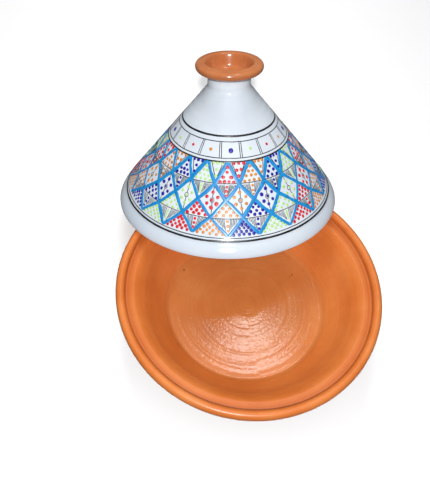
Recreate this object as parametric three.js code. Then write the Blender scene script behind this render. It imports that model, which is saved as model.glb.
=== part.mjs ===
// A tagine: a wide turned dish and a tall conical lid with a cup-shaped knob.
// The lid is off and leans back against the dish, so the inside of the dish shows.
// Millimetres, +Z up. The origin is the centre of the dish's flat underside,
// and +Y points from the dish towards the leaning lid.
import * as THREE from 'three';

// dish
const dishRadius = 152.5;
const dishHeight = 68;
const dishFootRadius = 102;
const dishFootRound = 3;
const dishFloorRadius = 94.5;
const dishFloorThickness = 8.5;
const dishOuterBulge = 4;
const dishInnerBulge = 2;
const rimBeadWidth = 10.7;
const rimBeadHeight = 13;
const rimUndercut = 6.4;
const seatDepth = 8.5;
const seatInnerRadius = 131;
const seatRound = 5;

// lid, its heights measured from the plane of its foot
const lidRadius = 137.7;
const lidFootRound = 1.5;
const lidWall = 8;
const bandTopRadius = 127.2;
const bandTopHeight = 17.8;
const coneTopRadius = 24;
const coneTopHeight = 144.3;
const crownThickness = 9;
const crownDome = 9;

// knob, its heights measured from the plane of the lid's foot
const lutingGap = 0.3;
const neckRadius = 22.7;
const neckHeight = 150;
const collarRadius = 38.3;
const collarBeadRadius = 5.1;
const collarHeight = 166;
const flareRadius = 31.2;
const cupFloorHeight = 151;
const cupShoulder = 4;

// how the lid leans on the dish
const lidLean = THREE.MathUtils.degToRad(20.6);
const lidBack = 144.3;
const restingGap = 0.3;

// facets
const dishSegments = 80;
const lidSegments = 80;
const knobSegments = 48;
const beadSteps = 10;
const wallSteps = 4;

// Points of an ellipse arc in the radius and height plane, in degrees from outwards, turning up.
function arcPoints(centreRadius, centreHeight, halfWidth, halfHeight, from, to, steps) {
  const points = [];
  for (let i = 0; i <= steps; i += 1) {
    const angle = THREE.MathUtils.degToRad(from + ((to - from) * i) / steps);
    const radius = centreRadius + halfWidth * Math.cos(angle);
    const height = centreHeight + halfHeight * Math.sin(angle);
    points.push(new THREE.Vector2(radius, height));
  }
  return points;
}

// Points of a smooth curve from start to end, pulled towards a middle point.
function bendPoints(start, middle, end, steps) {
  const curve = new THREE.QuadraticBezierCurve(start, middle, end);
  return curve.getPoints(steps);
}

// Points of a wall from start to end that bulges outwards and down by the given amount.
function wallPoints(start, end, bulge) {
  const middle = start.clone().lerp(end, 0.5);
  middle.add(new THREE.Vector2(bulge, -bulge));
  return bendPoints(start, middle, end, wallSteps);
}

// A solid turned on the Z axis from an outline in the radius and height plane.
function turned(outline, segments) {
  const geometry = new THREE.LatheGeometry(outline, segments);
  geometry.rotateX(Math.PI / 2);
  return geometry;
}

// One piece of fired clay.
function pottery(name, geometry, color, roughness) {
  const material = new THREE.MeshStandardMaterial({ color, roughness, metalness: 0 });
  const mesh = new THREE.Mesh(geometry, material);
  mesh.name = name;
  return mesh;
}

// The dish: flat foot, flared wall, a level seat for the lid and a thick rounded rim.
function makeDish() {
  const beadHalfWidth = rimBeadWidth / 2;
  const beadHalfHeight = rimBeadHeight / 2;
  const beadRadius = dishRadius - beadHalfWidth;
  const beadHeight = dishHeight - beadHalfHeight;
  const seatHeight = dishHeight - seatDepth;
  const footEdge = new THREE.Vector2(dishFootRadius + dishFootRound, dishFootRound);
  const underRim = new THREE.Vector2(dishRadius - rimUndercut, dishHeight - rimBeadHeight);
  const innerWallTop = new THREE.Vector2(seatInnerRadius - seatRound, seatHeight - seatRound);
  const floorEdge = new THREE.Vector2(dishFloorRadius, dishFloorThickness);
  const outline = [
    new THREE.Vector2(0, 0),
    new THREE.Vector2(dishFootRadius, 0),
    ...wallPoints(footEdge, underRim, dishOuterBulge),
    ...arcPoints(beadRadius, beadHeight, beadHalfWidth, beadHalfHeight, -50, 180, beadSteps),
    new THREE.Vector2(beadRadius - beadHalfWidth, seatHeight),
    new THREE.Vector2(seatInnerRadius, seatHeight),
    ...wallPoints(innerWallTop, floorEdge, dishInnerBulge),
    new THREE.Vector2(0, dishFloorThickness),
  ];
  return pottery('base_dish', turned(outline, dishSegments), '#d8763a', 0.45);
}

// Radius of the lid's outside on the straight cone, at a height above the foot.
function coneRadius(height) {
  const climb = (height - bandTopHeight) / (coneTopHeight - bandTopHeight);
  return THREE.MathUtils.lerp(bandTopRadius, coneTopRadius, climb);
}

// The lid: a hollow cone with a steeper band round its foot, closed by a domed crown.
function makeLidCone() {
  const coneAngle = Math.atan2(bandTopRadius - coneTopRadius, coneTopHeight - bandTopHeight);
  const wallAcross = lidWall / Math.cos(coneAngle);
  const domeFoot = coneTopHeight - crownThickness - crownDome;
  const domeRadius = coneRadius(domeFoot) - wallAcross;
  const footInner = new THREE.Vector2(lidRadius - lidWall, 0);
  const footRoundRadius = lidRadius - lidFootRound;
  const outline = [
    footInner,
    ...arcPoints(footRoundRadius, lidFootRound, lidFootRound, lidFootRound, -90, 0, 2),
    new THREE.Vector2(bandTopRadius, bandTopHeight),
    new THREE.Vector2(coneTopRadius, coneTopHeight),
    new THREE.Vector2(0, coneTopHeight),
    ...arcPoints(0, domeFoot, domeRadius, crownDome, 90, 0, wallSteps),
    new THREE.Vector2(bandTopRadius - wallAcross, bandTopHeight),
    footInner,
  ];
  return pottery('lid_cone', turned(outline, lidSegments), '#e6eef8', 0.2);
}

// The knob: a waisted neck that opens into a shallow cup with a rolled collar.
function makeLidKnob() {
  const beadRadius = collarRadius - collarBeadRadius;
  const collarFoot = collarHeight - collarBeadRadius;
  const neck = new THREE.Vector2(neckRadius, neckHeight);
  const flare = new THREE.Vector2(flareRadius, collarFoot);
  const flareMiddle = new THREE.Vector2(neckRadius, collarFoot);
  const lip = new THREE.Vector2(beadRadius - collarBeadRadius, collarHeight);
  const cupMiddle = new THREE.Vector2(lip.x - cupShoulder, cupFloorHeight);
  const cupFloor = new THREE.Vector2(0, cupFloorHeight);
  const outline = [
    new THREE.Vector2(0, coneTopHeight + lutingGap),
    new THREE.Vector2(coneTopRadius - lutingGap, coneTopHeight + lutingGap),
    ...bendPoints(neck, flareMiddle, flare, wallSteps),
    ...arcPoints(beadRadius, collarHeight, collarBeadRadius, collarBeadRadius, -70, 165, beadSteps),
    ...bendPoints(lip, cupMiddle, cupFloor, beadSteps),
  ];
  return pottery('lid_knob', turned(outline, knobSegments), '#d8763a', 0.25);
}

// The lid's far edge stands on the table while its foot lies across the dish's rim.
function leanLid(pieces) {
  const farEdgeDrop = (lidRadius - lidFootRound) * Math.sin(lidLean);
  const farEdgeRoll = lidFootRound * (1 - Math.cos(lidLean));
  const lid = new THREE.Group();
  lid.add(...pieces);
  lid.rotation.x = -lidLean;
  lid.position.set(0, lidBack, farEdgeDrop + farEdgeRoll + restingGap);
  return lid;
}

const tagine = new THREE.Group();
tagine.add(makeDish(), leanLid([makeLidCone(), makeLidKnob()]));

export default tagine;
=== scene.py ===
import math
import random

import bpy
from mathutils import Matrix, Vector, noise


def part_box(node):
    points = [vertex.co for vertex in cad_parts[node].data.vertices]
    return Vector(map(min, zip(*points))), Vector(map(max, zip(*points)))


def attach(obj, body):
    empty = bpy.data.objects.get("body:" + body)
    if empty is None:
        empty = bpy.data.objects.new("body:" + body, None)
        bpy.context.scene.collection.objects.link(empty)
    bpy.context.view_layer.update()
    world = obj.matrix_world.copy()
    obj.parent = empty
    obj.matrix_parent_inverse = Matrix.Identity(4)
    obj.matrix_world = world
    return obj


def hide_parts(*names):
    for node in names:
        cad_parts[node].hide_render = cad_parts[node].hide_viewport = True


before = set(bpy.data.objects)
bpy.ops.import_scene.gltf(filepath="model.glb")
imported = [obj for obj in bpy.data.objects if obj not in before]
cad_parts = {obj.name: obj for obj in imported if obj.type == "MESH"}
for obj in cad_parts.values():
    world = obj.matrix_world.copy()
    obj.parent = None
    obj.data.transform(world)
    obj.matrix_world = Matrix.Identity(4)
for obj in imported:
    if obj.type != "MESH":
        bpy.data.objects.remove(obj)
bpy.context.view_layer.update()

mm = 0.001


# Small helpers.

def linear(hexColour):
    # an sRGB hex colour as the linear values that Blender's sockets take
    channels = [int(hexColour[i:i + 2], 16) / 255 for i in (1, 3, 5)]
    return [c / 12.92 if c <= 0.04045 else ((c + 0.055) / 1.055) ** 2.4 for c in channels] + [1.0]


def addNode(tree, kind, inputs=None, stops=None, **settings):
    # one node with its settings and colour stops
    # an input is a value, a socket, or the node that feeds it
    node = tree.nodes.new(kind)
    for key, value in settings.items():
        setattr(node, key, value)
    for socket, value in (inputs or {}).items():
        if isinstance(value, bpy.types.Node):
            value = value.outputs[0]
        if isinstance(value, bpy.types.NodeSocket):
            tree.links.new(value, node.inputs[socket])
        else:
            node.inputs[socket].default_value = value
    for i, (position, hexColour) in enumerate(stops or ()):
        elements = node.color_ramp.elements
        element = elements[i] if i < len(elements) else elements.new(position)
        element.position = position
        element.color = linear(hexColour)
    return node


def newMaterial(name):
    material = bpy.data.materials.new(name)
    material.use_nodes = True
    material.node_tree.nodes.clear()
    return material, material.node_tree


# Where things stand, as in the part: the lid leans back with its far edge on the table.

lidPose = dict(lean=math.radians(20.6), back=144.3 * mm, footRound=1.5 * mm, gap=0.3 * mm)
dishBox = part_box("base_dish")
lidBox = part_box("lid_cone")
dishRadius = dishBox[1].x
dishHeight = dishBox[1].z
lidRadius = lidBox[1].x
mouthHeight = (
    (lidRadius - lidPose["footRound"]) * math.sin(lidPose["lean"])
    + lidPose["footRound"] * (1 - math.cos(lidPose["lean"]))
    + lidPose["gap"]
)
lidPlace = Matrix.Translation((0, lidPose["back"], mouthHeight)) @ Matrix.Rotation(-lidPose["lean"], 4, "X")


# Camera, floor and light.

view = dict(
    azimuth=-14.95, elevation=59.15, roll=6.67, distance=0.651, lens=39.7, sensor=36,
    target=(-0.0313, 0.0565, 0.060),
)


def makeCamera():
    azimuth, elevation, roll = (math.radians(view[key]) for key in ("azimuth", "elevation", "roll"))
    level = math.cos(elevation)
    back = Vector((math.sin(azimuth) * level, -math.cos(azimuth) * level, math.sin(elevation)))
    right = Vector((0, 0, 1)).cross(back).normalized()
    up = back.cross(right)
    turnedRight = right * math.cos(roll) + up * math.sin(roll)
    turnedUp = up * math.cos(roll) - right * math.sin(roll)
    data = bpy.data.cameras.new("camera")
    data.lens = view["lens"]
    data.sensor_width = view["sensor"]
    camera = bpy.data.objects.new("camera", data)
    place = Vector(view["target"]) + back * view["distance"]
    axes = Matrix((turnedRight, turnedUp, back)).transposed().to_4x4()
    camera.matrix_world = Matrix.Translation(place) @ axes
    bpy.context.scene.collection.objects.link(camera)
    bpy.context.scene.camera = camera
    return camera


def aimLight(name, kind, place, target, energy, **settings):
    data = bpy.data.lights.new(name, kind)
    data.energy = energy
    for key, value in settings.items():
        setattr(data, key, value)
    light = bpy.data.objects.new(name, data)
    light.location = place
    light.rotation_euler = (Vector(target) - Vector(place)).to_track_quat("-Z", "Y").to_euler()
    bpy.context.scene.collection.objects.link(light)
    return light


studio = dict(
    flash=13.4, flashSize=0.06, flashBack=0.6, flashLift=-0.08,
    ceiling=0.95, ceilingWide=0.16, ceilingDeep=0.12,
    ceilingPlace=(0.205, 0.341, 1.118), ceilingAim=(0.011, -0.05, 0),
    overhead=2.4, overheadSize=1.2, overheadPlace=(0.05, -0.1, 1.3),
    behind=12.5, behindSize=0.8, behindPlace=(0.1, 1.15, 1.25), behindAim=(0, 0.25, 0.05),
    air=0.13, airColour="#F4F6FA", floor="#FFFFFF", floorHalf=6.0,
)


def makeStage(camera):
    scene = bpy.context.scene
    scene.view_settings.view_transform = "Standard"
    aim = Vector(view["target"])
    place = camera.matrix_world.translation
    away = (place - aim).normalized() * studio["flashBack"]
    up = camera.matrix_world.to_3x3() @ Vector((0, 1, 0))
    aimLight("flash", "AREA", place + away + up * studio["flashLift"], aim, studio["flash"],
             shape="DISK", size=studio["flashSize"])
    aimLight("overhead", "AREA", studio["overheadPlace"], aim, studio["overhead"],
             shape="DISK", size=studio["overheadSize"])
    ceiling = aimLight("ceiling", "AREA", studio["ceilingPlace"], studio["ceilingAim"], studio["ceiling"],
                       shape="RECTANGLE", size=studio["ceilingWide"], size_y=studio["ceilingDeep"])
    ceiling.visible_diffuse = False  # it only shows as the glint on the floor of the dish
    behind = aimLight("behind", "AREA", studio["behindPlace"], studio["behindAim"], studio["behind"],
                      shape="DISK", size=studio["behindSize"])
    behind.visible_glossy = False  # fills the back of the lid without a second glint
    world = bpy.data.worlds.new("studioAir")
    scene.world = world
    world.use_nodes = True
    background = world.node_tree.nodes["Background"]
    background.inputs["Color"].default_value = linear(studio["airColour"])
    background.inputs["Strength"].default_value = studio["air"]

    mesh = bpy.data.meshes.new("floor")
    half = studio["floorHalf"]
    corners = [(-half, -half, 0), (half, -half, 0), (half, half, 0), (-half, half, 0)]
    mesh.from_pydata(corners, [], [(0, 1, 2, 3)])
    floor = bpy.data.objects.new("floor", mesh)
    scene.collection.objects.link(floor)
    floor.visible_diffuse = False  # the paper throws no light back, so the glaze darkens towards its edges
    floor.visible_glossy = False
    material, tree = newMaterial("matteWhitePaper")
    paper = addNode(tree, "ShaderNodeBsdfPrincipled", {
        "Base Color": linear(studio["floor"]), "Roughness": 0.9})
    addNode(tree, "ShaderNodeOutputMaterial", {"Surface": paper})
    mesh.materials.append(material)
    print("camera, floor and lights are placed")


makeStage(makeCamera())


# Turned clay: an outline in radius and height, spun round the axis.

def ovalArc(centre, halfWidth, halfHeight, start, end, steps):
    # points on an oval, in degrees from outwards, turning up
    points = []
    for i in range(steps + 1):
        angle = math.radians(start + (end - start) * i / steps)
        points.append((centre[0] + halfWidth * math.cos(angle), centre[1] + halfHeight * math.sin(angle)))
    return points


def bend(start, middle, end, steps):
    # points on a smooth curve from start to end, pulled towards the middle point
    points = []
    for i in range(steps + 1):
        t = i / steps
        points.append(tuple(
            (1 - t) ** 2 * a + 2 * t * (1 - t) * b + t * t * c for a, b, c in zip(start, middle, end)
        ))
    return points


def line(start, end, steps):
    return [(start[0] + (end[0] - start[0]) * i / steps, start[1] + (end[1] - start[1]) * i / steps)
            for i in range(steps + 1)]


def joined(*stretches):
    # one outline from several, without the doubled points where they meet
    outline = []
    for point in (p for stretch in stretches for p in stretch):
        if not outline or math.dist(point, outline[-1]) > 0.02:
            outline.append(point)
    return outline


def spin(name, outline, sectors, place, materialAt, shape=None):
    # the outline starts and ends on the axis, or closes on itself
    # shape(radius, height, angle) moves a point of it
    closed = math.dist(outline[0], outline[-1]) < 0.02
    rows = outline[:-1] if closed else outline
    verts, ringStart, onAxis = [], [], []
    for radius, height in rows:
        ringStart.append(len(verts))
        onAxis.append(radius < 0.01)
        turns = 1 if radius < 0.01 else sectors
        for j in range(turns):
            angle = 2 * math.pi * j / sectors
            r, h = shape(radius, height, angle) if shape and turns > 1 else (radius, height)
            verts.append((r * mm * math.sin(angle), -r * mm * math.cos(angle), h * mm))
    faces, bands = [], []
    count = len(rows)
    for i in range(count if closed else count - 1):
        k = (i + 1) % count
        for j in range(sectors):
            n = (j + 1) % sectors
            a = ringStart[i] + (0 if onAxis[i] else j)
            b = ringStart[i] + (0 if onAxis[i] else n)
            c = ringStart[k] + (0 if onAxis[k] else n)
            d = ringStart[k] + (0 if onAxis[k] else j)
            faces.append(tuple(dict.fromkeys((a, b, c, d))))
            bands.append(i)
    mesh = bpy.data.meshes.new(name)
    mesh.from_pydata(verts, [], faces)
    names = []
    for polygon, band in zip(mesh.polygons, bands):
        middle = [(rows[band][axis] + rows[(band + 1) % count][axis]) / 2 for axis in (0, 1)]
        material = materialAt(band, *middle)
        if material.name not in names:
            names.append(material.name)
            mesh.materials.append(material)
        polygon.material_index = names.index(material.name)
    mesh.transform(place)
    mesh.shade_smooth()
    mesh.update()
    piece = bpy.data.objects.new(name, mesh)
    bpy.context.scene.collection.objects.link(piece)
    return piece


# Glazes and clay.

def placed(tree, matrix):
    # object coordinates turned and centred on a piece's own axis
    mapping = addNode(tree, "ShaderNodeMapping", {
        "Vector": addNode(tree, "ShaderNodeTexCoord").outputs["Object"], "Location": matrix.translation,
        "Rotation": matrix.to_euler()}, vector_type="TEXTURE")
    return mapping.outputs["Vector"]


def wheelCoordinates(tree, vector):
    # radius from the axis and height up it, for the lines left by the wheel
    parts = addNode(tree, "ShaderNodeSeparateXYZ", {"Vector": vector})
    level = addNode(tree, "ShaderNodeVectorMath", {0: vector, 1: (1.0, 1.0, 0.0)}, operation="MULTIPLY")
    radius = addNode(tree, "ShaderNodeVectorMath", {0: level}, operation="LENGTH")
    return addNode(tree, "ShaderNodeCombineXYZ", {"X": radius.outputs["Value"], "Y": parts.outputs["Z"]})


# Tin glaze over red clay: opaque, bluish white and glassy, with soft waves from the throwing and a fine
# orange-peel skin.
whiteGlaze = dict(
    # the colours from thin upwards are painted shade and light by height: grey on the foot band, plain on
    # the cone, brightest on the neck
    base="#F1F8FF", cool="#E5EFFA", thin="#E2E5E8", even="#ECEDEE", paintedLightNeck="#FFFFFF",
    cloudSize=45, streaksPerMetre=90.0, ridgePitch=7.0, ridgeDepth=0.1, peelSize=3.0, peelDepth=0.012,
    roughness=0.13, heightSpan=200,
)


def makeWhiteGlaze():
    material, tree = newMaterial("whiteTinGlaze")
    vector = placed(tree, lidPlace)
    wheel = wheelCoordinates(tree, vector)
    cloud = addNode(tree, "ShaderNodeTexNoise", {
        "Vector": vector, "Scale": 1000 / whiteGlaze["cloudSize"], "Detail": 3.0})
    streaks = addNode(tree, "ShaderNodeTexNoise", {
        "Vector": wheel, "Scale": whiteGlaze["streaksPerMetre"], "Detail": 2.0})
    tone = addNode(tree, "ShaderNodeMath", {0: streaks, 1: 0.35, 2: cloud}, operation="MULTIPLY_ADD")
    colour = addNode(tree, "ShaderNodeValToRGB", {"Fac": tone}, stops=[
        (0.45, whiteGlaze["cool"]), (0.85, whiteGlaze["base"])])
    # painted shade and light by height: the white is greyed on the band at the foot and brightest on the
    # neck, standing in for the fall of light, not a change in the coat
    height = addNode(tree, "ShaderNodeMapRange", {
        "Value": addNode(tree, "ShaderNodeSeparateXYZ", {0: vector}).outputs["Z"],
        "From Max": whiteGlaze["heightSpan"] * mm})
    coat = addNode(tree, "ShaderNodeValToRGB", {"Fac": height}, stops=[
        (0.05, whiteGlaze["thin"]), (0.12, whiteGlaze["even"]),
        (0.7, whiteGlaze["even"]), (0.75, whiteGlaze["paintedLightNeck"])])
    colour = addNode(tree, "ShaderNodeMix", {
        "Factor": 1.0, 6: colour, 7: coat}, data_type="RGBA", blend_type="MULTIPLY").outputs[2]
    ridges = addNode(tree, "ShaderNodeTexNoise", {
        "Vector": wheel, "Scale": 1000 / whiteGlaze["ridgePitch"] * 0.5, "Detail": 1.0})
    ridgeBump = addNode(tree, "ShaderNodeBump", {
        "Height": ridges, "Strength": 1.0, "Distance": whiteGlaze["ridgeDepth"] * mm})
    peel = addNode(tree, "ShaderNodeTexNoise", {
        "Vector": vector, "Scale": 1000 / whiteGlaze["peelSize"], "Detail": 1.0})
    peelBump = addNode(tree, "ShaderNodeBump", {
        "Height": peel, "Strength": 1.0, "Distance": whiteGlaze["peelDepth"] * mm, "Normal": ridgeBump})
    shader = addNode(tree, "ShaderNodeBsdfPrincipled", {
        "Base Color": colour, "Roughness": whiteGlaze["roughness"], "IOR": 1.52, "Normal": peelBump})
    addNode(tree, "ShaderNodeOutputMaterial", {"Surface": shader})
    return material


# Red earthenware under a thin honey glaze: warm orange and satin, with fine wheel lines, a sandy grain and
# darker clouds where the glaze lies thick.
honeyGlaze = dict(
    thin=("#C86A2D", "#D67737", "#E08746"), pooled=("#BE6C34", "#CB783F", "#D5884E"),
    thick=("#AE6138", "#BF7345", "#CE8556"), seatRingDark="#A9501A", iron="#6B3A22",
    cloudSize=70, linePitch=1.7, lineDepth=0.12, grainSize=1.5, grainDepth=0.14,
    poolTop=14, poolFull=9, poolGloss=0.35, cornerInner=128, cornerOuter=148,
    dishRoughness=0.3, knobRoughness=0.16, insideRoughness=0.4, knobGrain=0.15,
    pinholes=((-67.9, 57.7, 8.5, 1.5), (68, 33, 8.5, 1.3), (64.5, 31, 8.5, 0.9)),
)


def makeHoneyGlaze(name, place, coat, roughness, grain, pinholes=()):
    material, tree = newMaterial(name)
    vector = placed(tree, place)
    wheel = wheelCoordinates(tree, vector)
    cloud = addNode(tree, "ShaderNodeTexNoise", {
        "Vector": vector, "Scale": 1000 / honeyGlaze["cloudSize"], "Detail": 4.0, "Roughness": 0.6})
    lines = addNode(tree, "ShaderNodeTexNoise", {
        "Vector": wheel, "Scale": 1000 / honeyGlaze["linePitch"] * 0.5, "Detail": 2.0, "Roughness": 0.6})
    sand = addNode(tree, "ShaderNodeTexNoise", {
        "Vector": vector, "Scale": 1000 / honeyGlaze["grainSize"] * 0.5, "Detail": 2.0, "Roughness": 0.6})
    tone = addNode(tree, "ShaderNodeMath", {0: lines, 1: 0.22, 2: cloud}, operation="MULTIPLY_ADD")
    tone = addNode(tree, "ShaderNodeMath", {0: sand, 1: 0.12, 2: tone}, operation="MULTIPLY_ADD")
    stops = (0.42, 0.66, 0.92)
    colour = addNode(tree, "ShaderNodeValToRGB", {"Fac": tone}, stops=zip(stops, honeyGlaze[coat]))
    # low down the glaze has run together: duller in colour and glassier
    height = addNode(tree, "ShaderNodeSeparateXYZ", {0: vector}).outputs["Z"]
    pool = addNode(tree, "ShaderNodeMapRange", {
        "Value": height, "From Min": honeyGlaze["poolFull"] * mm, "From Max": honeyGlaze["poolTop"] * mm,
        "To Min": 1.0, "To Max": 0.0})
    pooled = addNode(tree, "ShaderNodeValToRGB", {"Fac": tone}, stops=zip(stops, honeyGlaze["pooled"]))
    colour = addNode(tree, "ShaderNodeMix", {
        "Factor": pool, 6: colour, 7: pooled}, data_type="RGBA").outputs[2]
    # darker in a ring over the seat and its groove
    corner = addNode(tree, "ShaderNodeMapRange", {
        "Value": addNode(tree, "ShaderNodeSeparateXYZ", {0: wheel}).outputs["X"],
        "From Min": honeyGlaze["cornerInner"] * mm, "From Max": honeyGlaze["cornerOuter"] * mm})
    corner = addNode(tree, "ShaderNodeValToRGB", {"Fac": corner}, stops=[
        (0.1, "#000000"), (0.3, "#868686"), (0.42, "#909090"),
        (0.5, "#C8C8C8"), (0.64, "#C8C8C8"), (0.76, "#000000")])
    colour = addNode(tree, "ShaderNodeMix", {
        "Factor": corner, 6: colour, 7: linear(honeyGlaze["seatRingDark"])}, data_type="RGBA").outputs[2]
    for x, y, z, radius in pinholes:
        # a speck of burnt iron where the glaze pulled back
        gap = addNode(tree, "ShaderNodeVectorMath", {
            0: vector, 1: (x * mm, y * mm, z * mm)}, operation="DISTANCE").outputs["Value"]
        burnt = addNode(tree, "ShaderNodeMapRange", {
            "Value": gap, "From Min": radius * 0.4 * mm, "From Max": radius * mm,
            "To Min": 1.0, "To Max": 0.0})
        colour = addNode(tree, "ShaderNodeMix", {
            "Factor": burnt, 6: colour, 7: linear(honeyGlaze["iron"])}, data_type="RGBA").outputs[2]
    rough = addNode(tree, "ShaderNodeMapRange", {
        "Value": pool, "To Min": roughness, "To Max": roughness * honeyGlaze["poolGloss"]})
    rough = addNode(tree, "ShaderNodeMath", {0: cloud, 1: 0.06, 2: rough}, operation="MULTIPLY_ADD")
    lineBump = addNode(tree, "ShaderNodeBump", {
        "Height": lines, "Strength": 1.0, "Distance": honeyGlaze["lineDepth"] * mm * grain})
    sandBump = addNode(tree, "ShaderNodeBump", {
        "Height": sand, "Strength": 1.0, "Distance": honeyGlaze["grainDepth"] * mm * grain,
        "Normal": lineBump})
    shader = addNode(tree, "ShaderNodeBsdfPrincipled", {
        "Base Color": colour, "Roughness": rough, "IOR": 1.5, "Normal": sandBump})
    addNode(tree, "ShaderNodeOutputMaterial", {"Surface": shader})
    return material


# Bare fired clay: dry, pinkish orange and open grained, where the potter wiped the glaze off.
bareClay = dict(light="#D8936A", dark="#BE7448", cloudSize=22, grain=0.7)


def makeBareClay():
    material, tree = newMaterial("bareTerracotta")
    vector = addNode(tree, "ShaderNodeTexCoord").outputs["Object"]
    cloud = addNode(tree, "ShaderNodeTexNoise", {
        "Vector": vector, "Scale": 1000 / bareClay["cloudSize"], "Detail": 5.0, "Roughness": 0.65})
    grain = addNode(tree, "ShaderNodeTexNoise", {
        "Vector": vector, "Scale": 1000 / bareClay["grain"], "Detail": 3.0})
    colour = addNode(tree, "ShaderNodeValToRGB", {"Fac": cloud}, stops=[
        (0.35, bareClay["dark"]), (0.65, bareClay["light"])])
    bump = addNode(tree, "ShaderNodeBump", {"Height": grain, "Strength": 0.6, "Distance": 0.3 * mm})
    shader = addNode(tree, "ShaderNodeBsdfPrincipled", {
        "Base Color": colour, "Roughness": 0.85, "Normal": bump})
    addNode(tree, "ShaderNodeOutputMaterial", {"Surface": shader})
    return material


whiteTin = makeWhiteGlaze()
dishHoney = makeHoneyGlaze(
    "honeyGlazeOnDish", Matrix.Identity(4), "thin", honeyGlaze["dishRoughness"], 1.0,
    honeyGlaze["pinholes"])
collarHoney = makeHoneyGlaze(
    "honeyGlazeOnKnob", lidPlace, "thick", honeyGlaze["knobRoughness"], honeyGlaze["knobGrain"])
lidInside = makeHoneyGlaze("honeyGlazeInsideLid", lidPlace, "thin", honeyGlaze["insideRoughness"], 1.0)
clay = makeBareClay()


# The dish.

dish = dict(
    footRadius=102, footRound=3, floorRadius=94.5, floorThickness=8.5, outerBulge=4, innerBulge=2,
    beadWidth=10.7, beadHeight=13, undercut=6.4, seatDepth=8.5, seatInner=131, shoulder=11,
    ringPitch=3.4, ringDepth=0.3, sectors=288,
)


def dishOutline():
    radius, height = dishRadius / mm, dishHeight / mm
    beadCentre = (radius - dish["beadWidth"] / 2, height - dish["beadHeight"] / 2)
    seat = height - dish["seatDepth"]
    groove = radius - dish["beadWidth"]
    footEdge = (dish["footRadius"] + dish["footRound"], dish["footRound"])
    underRim = (radius - dish["undercut"], height - dish["beadHeight"])
    wallTop = (dish["seatInner"] - dish["shoulder"], seat - dish["shoulder"] * 1.25)
    floorEdge = (dish["floorRadius"], dish["floorThickness"])

    def wall(start, end, bulge, steps):
        middle = ((start[0] + end[0]) / 2 + bulge, (start[1] + end[1]) / 2 - bulge)
        return bend(start, middle, end, steps)

    return joined(
        line((0, 0), (dish["footRadius"], 0), 12),
        ovalArc((dish["footRadius"], dish["footRound"]), dish["footRound"], dish["footRound"], -90, -20, 4),
        wall(footEdge, underRim, dish["outerBulge"], 24)[1:],
        ovalArc(beadCentre, dish["beadWidth"] / 2, dish["beadHeight"] / 2, -50, 178, 26),
        bend((groove + 0.05, seat + 1.5), (groove - 0.1, seat - 0.2), (groove - 1.8, seat), 4),
        line((groove - 1.8, seat), (dish["seatInner"] + 2, seat), 4),
        bend((dish["seatInner"] + 2, seat), (dish["seatInner"] - 2, seat - 0.8), wallTop, 12),
        wall(wallTop, (floorEdge[0] + 3, floorEdge[1] + 4), dish["innerBulge"], 20),
        bend((floorEdge[0] + 3, floorEdge[1] + 4), (floorEdge[0] + 0.8, floorEdge[1] + 0.6),
             (floorEdge[0] - 2, floorEdge[1]), 6),
        line((floorEdge[0] - 2, floorEdge[1]), (0, floorEdge[1]), 92),
    )


def dishThrowing(radius, height, angle):
    # uneven rings left by the fingers, strongest near the edge of the floor, and a low swirl in the middle
    if abs(height - dish["floorThickness"]) > 0.1 or radius > dish["floorRadius"]:
        return radius, height
    turn = radius / dish["ringPitch"] - angle / (2 * math.pi)
    around = Vector((turn, 0.5 * math.sin(angle), 0.5 * math.cos(angle)))
    fade = min(1, (dish["floorRadius"] - radius) / 5) * (0.25 + 0.75 * (radius / dish["floorRadius"]) ** 2)
    rings = dish["ringDepth"] * fade * noise.noise(around)
    swirl = 0.2 * math.exp(-((radius - 12) / 8) ** 2) * math.sin(angle - radius / 5)
    return radius, height + rings + swirl


def makeDish():
    def materialAt(band, radius, height):
        return clay if height < 1.5 and band < 20 else dishHoney

    piece = spin("dishBowl", dishOutline(), dish["sectors"], Matrix.Identity(4), materialAt, dishThrowing)
    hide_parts("base_dish")
    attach(piece, "dish")
    print("dish:", len(piece.data.polygons), "faces")


makeDish()


# The lid: cone, neck and glaze line as one skin, and the knob's cup and collar set into it.

lid = dict(
    wall=8, footRound=1.5, bandRadius=127.2, bandHeight=17.8, coneRadius=24, coneHeight=144.3,
    crown=9, dome=9, neckRadius=24.4, neckHeight=150, cornerHeight=142, flareRadius=31.2, collarRadius=38.3,
    bead=4.5, collarHeight=166, cupFloor=151, cupWaist=(23.2, 159.5), lipRadius=26.8, sectors=256,
    ridgeDepth=0.12, ridgePitch=7.5, ridgeStart=110,
)
coneAngle = math.atan2(lid["bandRadius"] - lid["coneRadius"], lid["coneHeight"] - lid["bandHeight"])


def coneRadiusAt(height):
    climb = (height - lid["bandHeight"]) / (lid["coneHeight"] - lid["bandHeight"])
    return lid["bandRadius"] + (lid["coneRadius"] - lid["bandRadius"]) * climb


def neckSeam(lift):
    # where the glazed neck ends under the collar: a lip, then a bowl that carries the cup
    flareHeight = lid["collarHeight"] - lid["bead"]
    return joined(
        line((lid["flareRadius"], flareHeight), (lid["flareRadius"] - 4.6, flareHeight + 0.1 + lift), 2),
        bend((lid["flareRadius"] - 4.6, flareHeight + 0.1 + lift), (22.6, lid["cupFloor"] - 3.5 + lift),
             (0, lid["cupFloor"] - 4 + lift), 10),
    )


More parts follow.
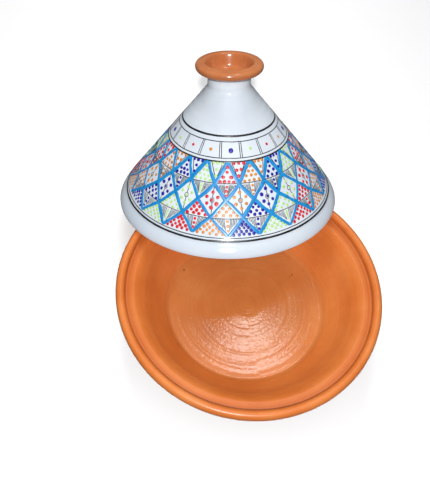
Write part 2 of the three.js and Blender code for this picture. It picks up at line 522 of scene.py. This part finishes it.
def lidOutline():
    radius = lidRadius / mm
    wallAcross = lid["wall"] / math.cos(coneAngle)
    flareHeight = lid["collarHeight"] - lid["bead"]
    domeFoot = lid["coneHeight"] - lid["crown"] - lid["dome"]
    domeRadius = coneRadiusAt(domeFoot) - wallAcross
    footInner = (radius - lid["wall"], 0)
    bandCorner = (lid["bandRadius"], lid["bandHeight"])
    belowCorner = (bandCorner[0] + (radius - bandCorner[0]) * 0.2, bandCorner[1] * 0.8)
    aboveCorner = (coneRadiusAt(bandCorner[1] + 4), bandCorner[1] + 4)
    neckFoot = (lid["neckRadius"] + 0.1, lid["cornerHeight"] + 3.5)
    neck = (lid["neckRadius"], lid["neckHeight"])
    coneEnd = (coneRadiusAt(lid["cornerHeight"] - 1), lid["cornerHeight"] - 1)
    return joined(
        line(footInner, (radius - lid["footRound"], 0), 4),
        ovalArc((radius - lid["footRound"], lid["footRound"]), lid["footRound"], lid["footRound"],
                -90, 30, 6),
        bend((radius - 0.2, lid["footRound"] + 1), (radius - 2.2, 8), belowCorner, 8),
        bend(belowCorner, bandCorner, aboveCorner, 6),
        line(aboveCorner, coneEnd, 90),
        bend(coneEnd, (lid["neckRadius"] + 0.5, lid["cornerHeight"] + 0.6), neckFoot, 6),
        line(neckFoot, neck, 3),
        bend(neck, (lid["neckRadius"], flareHeight), (lid["flareRadius"], flareHeight), 8),
        neckSeam(0),
        [(0, lid["coneHeight"] - lid["crown"])],
        ovalArc((0, domeFoot), domeRadius, lid["dome"], 90, 0, 10),
        line((domeRadius, domeFoot), (lid["bandRadius"] - wallAcross, lid["bandHeight"]), 40),
        line((lid["bandRadius"] - wallAcross, lid["bandHeight"]), footInner, 6),
    )


def lidThrowing(radius, height, angle):
    # faint ridges climb the plain white part of the cone
    if height < lid["ridgeStart"] or height > lid["neckHeight"] or radius < coneRadiusAt(height) - 2:
        return radius, height
    turn = height / lid["ridgePitch"] - angle / (2 * math.pi)
    fade = min(1, (height - lid["ridgeStart"]) / 5)
    return radius + lid["ridgeDepth"] * fade * math.cos(2 * math.pi * turn), height


def makeLid():
    outline = lidOutline()

    def materialAt(band, radius, height):
        if height < 0.9:
            return clay
        outer = band < 130 and radius > coneRadiusAt(height) - 3
        return whiteTin if outer or height > 146 else lidInside

    piece = spin("lidCone", outline, lid["sectors"], lidPlace, materialAt, lidThrowing)
    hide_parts("lid_cone")
    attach(piece, "lid")
    print("lid:", len(piece.data.polygons), "faces,", len(outline), "rows")


makeLid()


def makeKnob():
    beadRadius = lid["collarRadius"] - lid["bead"]
    lip = (lid["lipRadius"], lid["collarHeight"] + lid["bead"] + 0.7)
    outline = joined(
        neckSeam(0.2)[::-1],
        ovalArc((beadRadius, lid["collarHeight"]), lid["bead"], lid["bead"], -80, 85, 20),
        bend((beadRadius - 0.5, lip[1] - 0.65), (lip[0] + 4, lip[1]), (lip[0] + 2.4, lip[1]), 4),
        bend((lip[0] + 2.4, lip[1]), (lip[0] + 0.2, lip[1]), (lip[0] - 1, lip[1] - 3.4), 9),
        line((lip[0] - 1, lip[1] - 3.4), lid["cupWaist"], 5),
        bend(lid["cupWaist"], (lid["cupWaist"][0] - 2, lid["cupFloor"] + 0.5), (0, lid["cupFloor"]), 24),
    )
    piece = spin("knobCollar", outline, 160, lidPlace, lambda band, radius, height: collarHoney)
    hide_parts("lid_knob")
    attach(piece, "lid")
    print("knob:", len(piece.data.polygons), "faces")


makeKnob()


# The painted band: drawn flat on the unrolled cone, then wrapped round it.

paint = dict(
    turn=-11.4, footRadius=127.5, topRadius=54.2, seed=11,
    columns=20, rows=(0.762, 0.55, 0.38, 0.215, 0.05),
    brush=2.0, hatch=0.4, outline=0.46, stripe=1.0, hatchLines=17, flowerEye=2.3,
    brushRelief=0.2, lineRelief=0.16, dotRelief=0.24, dotStretch=0.14, sampleLength=1.4,
    rings=((0.0, 1.15), (0.03, 0.5), (0.215, 0.42), (0.55, 0.48), (0.757, 0.9), (0.79, 0.52),
           (0.947, 0.52), (1.0, 1.15)),
    dotRadius=dict(red=2.05, navy=1.95, orange=1.85, lime=1.75),
    friezeDots=18, friezeTurn=2.6, friezeClimb=0.866, friezeSizes=(1.35, 1.05, 0.8, 1.0),
)
diamondColours = ("orange", "navy", "lime", "red")
friezeColours = ("navy", "lime", "red", "orange")
coneSine = math.sin(coneAngle)
apexHeight = lid["bandHeight"] + lid["bandRadius"] / math.tan(coneAngle)
hand = random.Random(paint["seed"])


def flat(climb, degrees):
    # a place on the unrolled cone, from its share of the way up the painted band and its angle
    slant = (paint["footRadius"] + (paint["topRadius"] - paint["footRadius"]) * climb) / coneSine
    swing = math.radians(degrees) * coneSine
    return Vector((slant * math.sin(swing), -slant * math.cos(swing)))


def shaken(place, size):
    return place + Vector((hand.uniform(-size, size), hand.uniform(-size, size)))


strokes = {"blue": [], "black": [], "ring": [], "lime": []}
dots = {colour: [] for colour in diamondColours}


def addStroke(kind, points, halfWidth):
    strokes[kind].append((points, halfWidth))


def addDot(colour, place, size=1.0):
    dots[colour].append((shaken(place, 0.35), size * hand.uniform(0.88, 1.1)))


nodeDrift = {
    (row, column): (hand.uniform(-1.1, 1.1), hand.uniform(-0.01, 0.01) if row else 0)
    for row in range(len(paint["rows"])) for column in range(2 * paint["columns"])
}


def node(row, column):
    # a crossing of the blue lattice; columns count round the lid, and half columns fall between
    drift, lift = nodeDrift[row, int(2 * column) % (2 * paint["columns"])]
    return flat(paint["rows"][row] + lift, column * 360 / paint["columns"] + drift)


def inTriangle(tip, left, right, down, across):
    # down runs from the tip to the base, across from the left side to the right
    return tip.lerp(left, down).lerp(tip.lerp(right, down), across)


def dotTriangle(colour, tip, left, right, rows):
    radius = paint["dotRadius"][colour]
    margin = paint["brush"] * 1.35 + radius + 0.2
    for i in range(rows):
        down = (i + 1.3) / (rows + 0.75)
        width = (left - right).length * down
        spare = width - 2 * margin
        count = max(1, min(i + 1, int(spare / (2 * radius + 0.5)) + 1))
        for j in range(count):
            offset = (j / (count - 1) - 0.5) * spare if count > 1 else 0
            addDot(colour, inTriangle(tip, left, right, down, 0.5 + offset / width))


def hatchTriangle(colour, tip, left, right):
    # fine black lines that close in towards the tip, with a white stripe down the middle for colour
    count = paint["hatchLines"]
    for j in range(count):
        start = (j + 0.5) / count
        aside = start - 0.5
        if abs(aside) < 0.09:
            continue
        end = (1 - abs(2 * aside) ** 1.4) * hand.uniform(0.74, 0.86)
        points = []
        for step in range(4):
            depth = 0.04 + (end - 0.04) * step / 3
            across = 0.5 + aside * 0.9 / (1 - depth) ** 0.45
            points.append(shaken(inTriangle(tip, left, right, 1 - depth, across), 0.15))
        addStroke("black", points, paint["hatch"])
    if colour == "lime":
        ends = [inTriangle(tip, left, right, down, 0.5) for down in (0.92, 0.62, 0.32)]
        addStroke("lime", ends, paint["stripe"])
        return
    for down, size in ((0.8, 0.85), (0.54, 0.9), (0.3, 0.8)):
        addDot(colour, inTriangle(tip, left, right, down, 0.5), size)


def paintLattice():
    half = paint["columns"] // 2
    for column in range(-half, half):
        for side in (-1, 1):
            points = []
            for row in range(len(paint["rows"])):
                here = node(row, column + side * row / 2)
                if row:
                    points.append(shaken(points[-1].lerp(here, 0.5), 1.0))
                points.append(here)
            addStroke("blue", points, paint["brush"] * hand.uniform(0.85, 1.15))


def paintCells():
    half = paint["columns"] // 2
    for column in range(-half, half):
        upper, topHalf, middle, lower, bottomHalf = (
            diamondColours[(column + 3 + shift) % 4] for shift in (0, 0, 1, 1, 2))
        left, right = column - 0.5, column + 0.5
        # upper diamond: dots over hatching
        dotTriangle(upper, node(0, column), node(1, left), node(1, right), 4)
        hatchTriangle(upper, node(2, column), node(1, left), node(1, right))
        # lower diamond: the same again
        dotTriangle(lower, node(2, column), node(3, left), node(3, right), 4)
        hatchTriangle(lower, node(4, column), node(3, left), node(3, right))
        # half diamond hanging from the top, with a fine line inside its sides
        tip, a, b = node(1, right), node(0, column), node(0, column + 1)
        dotTriangle(topHalf, tip, a, b, 3)
        for across, near in ((0.17, 0.3), (0.83, 0.7)):
            ends = [inTriangle(tip, a, b, 0.95, across), inTriangle(tip, a, b, 0.34, near)]
            addStroke("black", [shaken(end, 0.3) for end in ends], paint["outline"])
        # half diamond standing on the foot line
        dotTriangle(bottomHalf, node(3, right), node(4, column), node(4, column + 1), 5)
        paintFlower(middle, node(1, right), node(2, column), node(2, column + 1), node(3, right))


def paintFlower(colour, top, left, right, bottom):
    # six dots round a ringed middle one, on a fine stem
    centre = (top + left + right + bottom) / 4
    addDot(colour, centre, 0.85)
    petals = ((0, 0.46), (0, -0.46), (0.4, 0.2), (-0.4, 0.2), (0.36, -0.22), (-0.36, -0.22))
    for sideways, upwards in petals:
        reach = (right - left) / 2 * sideways + (top - bottom) / 2 * upwards
        addDot(colour, centre + reach, 1.12)
    eye = paint["flowerEye"]
    for pole in (top, bottom):
        away = (pole - centre).normalized()
        stem = [centre + away * eye, shaken(centre.lerp(pole, 0.5), 0.5), centre.lerp(pole, 0.9)]
        addStroke("black", stem, paint["outline"])
    turns = [i * math.pi / 6 for i in range(12)]
    circle = [centre + Vector((math.cos(turn), 1.15 * math.sin(turn))) * eye for turn in turns]
    addStroke("black", circle + circle[:1], paint["outline"] * 0.9)


def paintFrieze():
    step = 360 / paint["friezeDots"]
    low, high = paint["rings"][5][0], paint["rings"][6][0]
    half = paint["friezeDots"] // 2
    for i in range(-half, half):
        angle = i * step + paint["friezeTurn"]
        addDot(friezeColours[i % 4], flat(paint["friezeClimb"], angle), paint["friezeSizes"][i % 4])
        count = hand.choice((2, 2, 2, 3))
        lean = hand.uniform(-1.2, 1.2)
        for j in range(count):
            aside = angle + step / 2 + (j - (count - 1) / 2) * 1.9
            tilt = lean + hand.uniform(-0.4, 0.4)
            ends = [flat(high, aside + tilt / 2), flat(low, aside - tilt / 2)]
            addStroke("black", ends, paint["outline"])


def paintRings():
    for climb, halfWidth in paint["rings"]:
        addStroke("ring", [flat(climb, degrees) for degrees in range(-180, 181, 3)], halfWidth)


paintRings()
paintLattice()
paintCells()
paintFrieze()


# Node trees that turn the flat drawing into raised enamel on the cone.

def newTree(name, sockets):
    tree = bpy.data.node_groups.new(name, "GeometryNodeTree")
    tree.interface.new_socket("Geometry", in_out="INPUT", socket_type="NodeSocketGeometry")
    for label, kind, value in sockets:
        socket = tree.interface.new_socket(label, in_out="INPUT", socket_type="NodeSocket" + kind)
        if value is not None:
            socket.default_value = value
    tree.interface.new_socket("Geometry", in_out="OUTPUT", socket_type="NodeSocketGeometry")
    return tree, addNode(tree, "NodeGroupInput").outputs, addNode(tree, "NodeGroupOutput").inputs[0]


def makeWrapTree():
    # distance and swing from the apex become a place down the slope and a turn round the cone
    # height above the drawing lifts a point off the slope
    tree, given, result = newTree("wrapOnCone", [
        ("Half Angle", "Float", coneAngle), ("Apex Height", "Float", apexHeight * mm),
        ("Turn", "Float", 0.0)])
    place = addNode(tree, "GeometryNodeInputPosition")
    parts = addNode(tree, "ShaderNodeSeparateXYZ", {0: place}).outputs
    level = addNode(tree, "ShaderNodeVectorMath", {0: place, 1: (1.0, -1.0, 0.0)}, operation="MULTIPLY")
    slant = addNode(tree, "ShaderNodeVectorMath", {0: level}, operation="LENGTH").outputs["Value"]
    toward = addNode(tree, "ShaderNodeSeparateXYZ", {0: level}).outputs["Y"]
    swing = addNode(tree, "ShaderNodeMath", {0: parts["X"], 1: toward}, operation="ARCTAN2")
    sine = addNode(tree, "ShaderNodeMath", {0: given["Half Angle"]}, operation="SINE")
    around = addNode(tree, "ShaderNodeMath", {0: swing, 1: sine}, operation="DIVIDE")
    turned = addNode(tree, "ShaderNodeMath", {0: around, 1: given["Turn"]}, operation="ADD")
    slope = addNode(tree, "ShaderNodeMath", {0: math.pi / 2, 1: given["Half Angle"]}, operation="SUBTRACT")
    outward = addNode(tree, "ShaderNodeMath", {0: slant, 1: -1.0}, operation="MULTIPLY")
    flatPlace = addNode(tree, "ShaderNodeCombineXYZ", {"Y": outward, "Z": parts["Z"]})
    tipped = addNode(tree, "ShaderNodeVectorRotate", {
        "Vector": flatPlace, "Angle": slope}, rotation_type="X_AXIS")
    spun = addNode(tree, "ShaderNodeVectorRotate", {
        "Vector": tipped, "Angle": turned}, rotation_type="Z_AXIS")
    apex = addNode(tree, "ShaderNodeCombineXYZ", {"Z": given["Apex Height"]})
    onCone = addNode(tree, "ShaderNodeVectorMath", {0: spun, 1: apex}, operation="ADD")
    moved = addNode(tree, "GeometryNodeSetPosition", {"Geometry": given["Geometry"], "Position": onCone})
    tree.links.new(moved.outputs[0], result)
    return tree


wrapTree = makeWrapTree()


def wrapAndPaint(tree, given, result, geometry):
    # wraps a drawing round the cone, welds rings where they meet, smooths it and gives it its enamel
    wrapped = addNode(tree, "GeometryNodeGroup", node_tree=wrapTree)
    tree.links.new(geometry.outputs[0], wrapped.inputs["Geometry"])
    tree.links.new(given["Turn"], wrapped.inputs["Turn"])
    welded = addNode(tree, "GeometryNodeMergeByDistance", {"Geometry": wrapped, "Distance": 0.005 * mm})
    smooth = addNode(tree, "GeometryNodeSetShadeSmooth", {0: welded})
    real = addNode(tree, "GeometryNodeRealizeInstances", {0: smooth})
    painted = addNode(tree, "GeometryNodeSetMaterial", {"Geometry": real, "Material": given["Material"]})
    tree.links.new(painted.outputs[0], result)


def makeStrokeTree():
    # an uneven brush stroke along each drawn line: it wanders, swells and thins, and tapers at its tips
    tree, given, result = newTree("brushStroke", [
        ("Relief", "Float", 0.0002), ("Sample Length", "Float", 0.002), ("Hand Wobble", "Float", 0.0003),
        ("Width Change", "Float", 0.2), ("Tip Length", "Float", 0.002), ("Capped", "Bool", True),
        ("Seed", "Float", 0.0), ("Turn", "Float", 0.0), ("Material", "Material", None)])
    curve = addNode(tree, "GeometryNodeMeshToCurve", {"Mesh": given["Geometry"]})
    sampled = addNode(tree, "GeometryNodeResampleCurve", {
        "Curve": curve, "Length": given["Sample Length"]}, mode="LENGTH")
    place = addNode(tree, "GeometryNodeInputPosition")
    unsteady = addNode(tree, "ShaderNodeTexNoise", {
        "Vector": place, "W": given["Seed"], "Scale": 75.0, "Detail": 2.0}, noise_dimensions="4D")
    along = addNode(tree, "GeometryNodeSplineParameter").outputs["Length"]
    whole = addNode(tree, "GeometryNodeSplineLength")
    left = addNode(tree, "ShaderNodeMath", {0: whole, 1: along}, operation="SUBTRACT")
    toEnd = addNode(tree, "ShaderNodeMath", {0: along, 1: left}, operation="MINIMUM")
    fade = addNode(tree, "ShaderNodeMapRange", {"Value": toEnd, "From Max": 0.006})
    reach = addNode(tree, "ShaderNodeMath", {0: given["Hand Wobble"], 1: fade}, operation="MULTIPLY")
    centred = addNode(tree, "ShaderNodeVectorMath", {
        0: unsteady.outputs["Color"], 1: (4.0, 4.0, 0.0), 2: (-2.0, -2.0, 0.0)}, operation="MULTIPLY_ADD")
    wander = addNode(tree, "ShaderNodeVectorMath", {0: centred, "Scale": reach}, operation="SCALE")
    shaky = addNode(tree, "GeometryNodeSetPosition", {"Geometry": sampled, "Offset": wander})
    level = addNode(tree, "GeometryNodeSetCurveNormal", {"Curve": shaky}, mode="Z_UP")
    width = addNode(tree, "GeometryNodeInputNamedAttribute", {"Name": "halfWidth"}, data_type="FLOAT")
    swing = addNode(tree, "ShaderNodeMapRange", {
        "Value": unsteady, "From Min": 0.25, "From Max": 0.75, "To Min": -1.0, "To Max": 1.0})
    change = addNode(tree, "ShaderNodeMath", {0: given["Width Change"], 1: fade}, operation="MULTIPLY")
    swell = addNode(tree, "ShaderNodeMath", {0: swing, 1: change, 2: 1.0}, operation="MULTIPLY_ADD")
    taper = addNode(tree, "ShaderNodeMapRange", {
        "Value": toEnd, "From Max": given["Tip Length"], "To Min": 0.35}, interpolation_type="SMOOTHSTEP")
    brush = addNode(tree, "ShaderNodeMath", {0: swell, 1: taper}, operation="MULTIPLY")
    radius = addNode(tree, "ShaderNodeMath", {0: brush, 1: width}, operation="MULTIPLY")
    section = addNode(tree, "GeometryNodeCurvePrimitiveCircle", {
        "Resolution": 8, "Radius": 1.0}, mode="RADIUS")
    body = addNode(tree, "GeometryNodeCurveToMesh", {
        "Curve": level, "Profile Curve": section, "Scale": radius, "Fill Caps": given["Capped"]})
    # the round section is pressed flat, so that wide and narrow strokes stand equally high
    parts = addNode(tree, "ShaderNodeSeparateXYZ", {0: place}).outputs
    share = addNode(tree, "ShaderNodeMath", {0: parts["Z"], 1: width}, operation="DIVIDE")
    pressed = addNode(tree, "ShaderNodeMath", {0: share, 1: given["Relief"]}, operation="MULTIPLY")
    low = addNode(tree, "ShaderNodeCombineXYZ", {"X": parts["X"], "Y": parts["Y"], "Z": pressed})
    stroke = addNode(tree, "GeometryNodeSetPosition", {"Geometry": body, "Position": low})
    wrapAndPaint(tree, given, result, stroke)
    return tree


def makeDotTree():
    # a low round drop at each drawn point, each a little different in size, length and direction
    tree, given, result = newTree("enamelDots", [
        ("Dot Radius", "Float", 0.002), ("Relief", "Float", 0.0004), ("Stretch", "Float", 0.12),
        ("Seed", "Int", 0), ("Turn", "Float", 0.0), ("Material", "Material", None)])
    drop = addNode(tree, "GeometryNodeMeshUVSphere", {"Segments": 12, "Rings": 5, "Radius": 1.0})
    size = addNode(tree, "GeometryNodeInputNamedAttribute", {"Name": "size"}, data_type="FLOAT")
    radius = addNode(tree, "ShaderNodeMath", {0: size, 1: given["Dot Radius"]}, operation="MULTIPLY")
    longest = addNode(tree, "ShaderNodeMath", {0: given["Stretch"], 1: 1.0}, operation="ADD")
    longer = addNode(tree, "FunctionNodeRandomValue", {
        2: 1.0, 3: longest, "Seed": given["Seed"]}, data_type="FLOAT")
    length = addNode(tree, "ShaderNodeMath", {0: radius, 1: longer.outputs[1]}, operation="MULTIPLY")
    scale = addNode(tree, "ShaderNodeCombineXYZ", {"X": length, "Y": radius, "Z": given["Relief"]})
    direction = addNode(tree, "FunctionNodeRandomValue", {
        2: 0.0, 3: math.pi, "Seed": given["Seed"]}, data_type="FLOAT")
    facing = addNode(tree, "ShaderNodeCombineXYZ", {"Z": direction.outputs[1]})
    drops = addNode(tree, "GeometryNodeInstanceOnPoints", {
        "Points": given["Geometry"], "Instance": drop, "Rotation": facing, "Scale": scale})
    wrapAndPaint(tree, given, result, addNode(tree, "GeometryNodeRealizeInstances", {0: drops}))
    return tree


strokeTree = makeStrokeTree()
dotTree = makeDotTree()


def grow(name, mesh, tree, inputs):
    # runs a node tree on a drawing and keeps the plain mesh, leant over with the lid
    source = bpy.data.objects.new(name + "Drawing", mesh)
    bpy.context.scene.collection.objects.link(source)
    modifier = source.modifiers.new("enamel", "NODES")
    modifier.node_group = tree
    sockets = [item for item in tree.interface.items_tree if item.in_out == "INPUT"]
    identifiers = {item.name: item.identifier for item in sockets}
    for label, value in inputs.items():
        modifier[identifiers[label]] = value
    evaluated = source.evaluated_get(bpy.context.evaluated_depsgraph_get())
    plain = bpy.data.meshes.new_from_object(evaluated)
    source.modifiers.clear()
    bpy.data.objects.remove(source)
    plain.name = name
    plain.transform(lidPlace)
    piece = bpy.data.objects.new(name, plain)
    bpy.context.scene.collection.objects.link(piece)
    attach(piece, "lid")
    print(name + ":", len(plain.polygons), "faces")
    return piece


def strokeMesh(name, entries):
    mesh = bpy.data.meshes.new(name)
    verts, edges, widths = [], [], []
    for points, halfWidth in entries:
        first = len(verts)
        verts += [(p.x * mm, p.y * mm, 0) for p in points]
        edges += [(first + i, first + i + 1) for i in range(len(points) - 1)]
        widths += [halfWidth * mm] * len(points)
    mesh.from_pydata(verts, edges, [])
    mesh.attributes.new("halfWidth", "FLOAT", "POINT").data.foreach_set("value", widths)
    return mesh


def dotMesh(name, entries):
    mesh = bpy.data.meshes.new(name)
    mesh.from_pydata([(p.x * mm, p.y * mm, 0) for p, size in entries], [], [])
    mesh.attributes.new("size", "FLOAT", "POINT").data.foreach_set("value", [size for p, size in entries])
    return mesh


# Enamel colours brushed over the raw glaze: glassy, and paler where the brush ran dry.
enamels = dict(
    blue=("#0E82C6", "#1F97DA"), black=("#141519", "#26282E"), red=("#CC1826", "#DE2F3E"),
    orange=("#D07E26", "#E0963C"), navy=("#170E92", "#261CA8"), lime=("#B2DD78", "#C4E896"),
)
enamelCoat = dict(cloudSize=6.25, relief=0.1, roughness=0.3)


def makeEnamel(colour):
    material, tree = newMaterial(colour + "Enamel")
    vector = addNode(tree, "ShaderNodeTexCoord").outputs["Object"]
    cloud = addNode(tree, "ShaderNodeTexNoise", {
        "Vector": vector, "Scale": 1000 / enamelCoat["cloudSize"], "Detail": 3.0, "Roughness": 0.6})
    pooled, thin = enamels[colour]
    shade = addNode(tree, "ShaderNodeValToRGB", {"Fac": cloud}, stops=[(0.38, pooled), (0.66, thin)])
    bump = addNode(tree, "ShaderNodeBump", {
        "Height": cloud, "Strength": 0.5, "Distance": enamelCoat["relief"] * mm})
    shader = addNode(tree, "ShaderNodeBsdfPrincipled", {
        "Base Color": shade, "Roughness": enamelCoat["roughness"], "IOR": 1.52, "Normal": bump})
    addNode(tree, "ShaderNodeOutputMaterial", {"Surface": shader})
    return material


# How each kind of line is brushed, in millimetres, but change is the share by which its width varies.
brushes = dict(
    blackRings=dict(
        lines="ring", colour="black", relief="lineRelief", wobble=0.12, change=0.12, tip=0.01, capped=False),
    blackFineLines=dict(
        lines="black", colour="black", relief="lineRelief", wobble=0.12, change=0.15, tip=1.2, capped=True),
    blueLattice=dict(
        lines="blue", colour="blue", relief="brushRelief", wobble=0.45, change=0.34, tip=2.5, capped=True),
    limeStripes=dict(
        lines="lime", colour="lime", relief="brushRelief", wobble=0.15, change=0.2, tip=1.5, capped=True),
)


def makePaint():
    turn = math.radians(paint["turn"])
    enamel = {colour: makeEnamel(colour) for colour in enamels}
    for index, (name, brush) in enumerate(brushes.items()):
        colour = brush["colour"]
        grow(name, strokeMesh(name, strokes[brush["lines"]]), strokeTree, {
            "Relief": paint[brush["relief"]] * mm, "Sample Length": paint["sampleLength"] * mm,
            "Hand Wobble": brush["wobble"] * mm, "Width Change": brush["change"],
            "Tip Length": brush["tip"] * mm, "Capped": brush["capped"],
            "Seed": float(index), "Turn": turn, "Material": enamel[colour]})
    for index, (colour, entries) in enumerate(dots.items()):
        name = colour + "Dots"
        grow(name, dotMesh(name, entries), dotTree, {
            "Dot Radius": paint["dotRadius"][colour] * mm, "Relief": paint["dotRelief"] * mm,
            "Stretch": paint["dotStretch"], "Seed": index, "Turn": turn,
            "Material": enamel[colour]})


makePaint()
